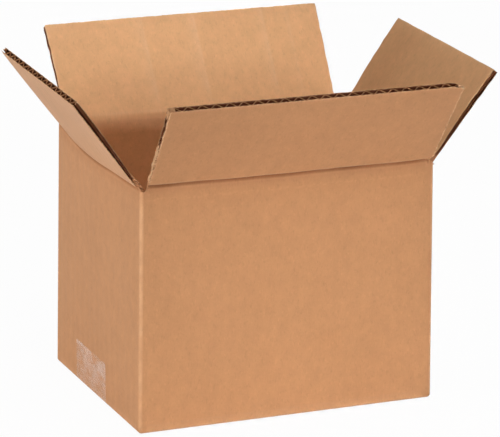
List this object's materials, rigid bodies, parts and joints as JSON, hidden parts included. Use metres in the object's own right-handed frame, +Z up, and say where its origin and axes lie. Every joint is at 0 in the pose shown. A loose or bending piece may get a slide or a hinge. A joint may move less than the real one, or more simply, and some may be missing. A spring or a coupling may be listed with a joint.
{
  "type": "open cardboard box",
  "caption": "Open cardboard box folded from corrugated board, with hinged top flaps on all sides and a tape-sealed bottom.",
  "frame": {"origin": "centre of the box's footprint, on the surface it stands on", "axes": "+X along the box's length towards the right end panel, -Y out of the front panel, +Z up; the stored pose has every top flap open, leaning outwards by 36 to 39 degrees from upright"},
  "size_m": [0.2644, 0.2163, 0.2045],
  "materials": {
    "board": "matt brown liner paper with fine fibre speckle and faint flute lines",
    "tape": "clear glossy film with a faint warm tint"
  },
  "bodies": {
    "carton_body": {"carton": "board", "sealing_tape": "tape"},
    "front_flap_body": {"front_flap": "board"},
    "back_flap_body": {"back_flap": "board"},
    "left_flap_body": {"left_flap": "board"},
    "right_flap_body": {"right_flap": "board"}
  },
  "joints": [
    {"name": "front_flap_fold", "type": "hinge", "parent": "carton_body", "child": "front_flap_body", "pos_m": [0, -0.0678, 0.1486], "axis": [1, 0, 0], "range_deg": [-126, 129]},
    {"name": "back_flap_fold", "type": "hinge", "parent": "carton_body", "child": "back_flap_body", "pos_m": [0, 0.0678, 0.1486], "axis": [-1, 0, 0], "range_deg": [-129, 126]},
    {"name": "left_flap_fold", "type": "hinge", "parent": "carton_body", "child": "left_flap_body", "pos_m": [-0.0928, 0, 0.1446], "axis": [0, -1, 0], "range_deg": [-126, 129]},
    {"name": "right_flap_fold", "type": "hinge", "parent": "carton_body", "child": "right_flap_body", "pos_m": [0.0928, 0, 0.1446], "axis": [0, 1, 0], "range_deg": [-128, 127]}
  ]
}
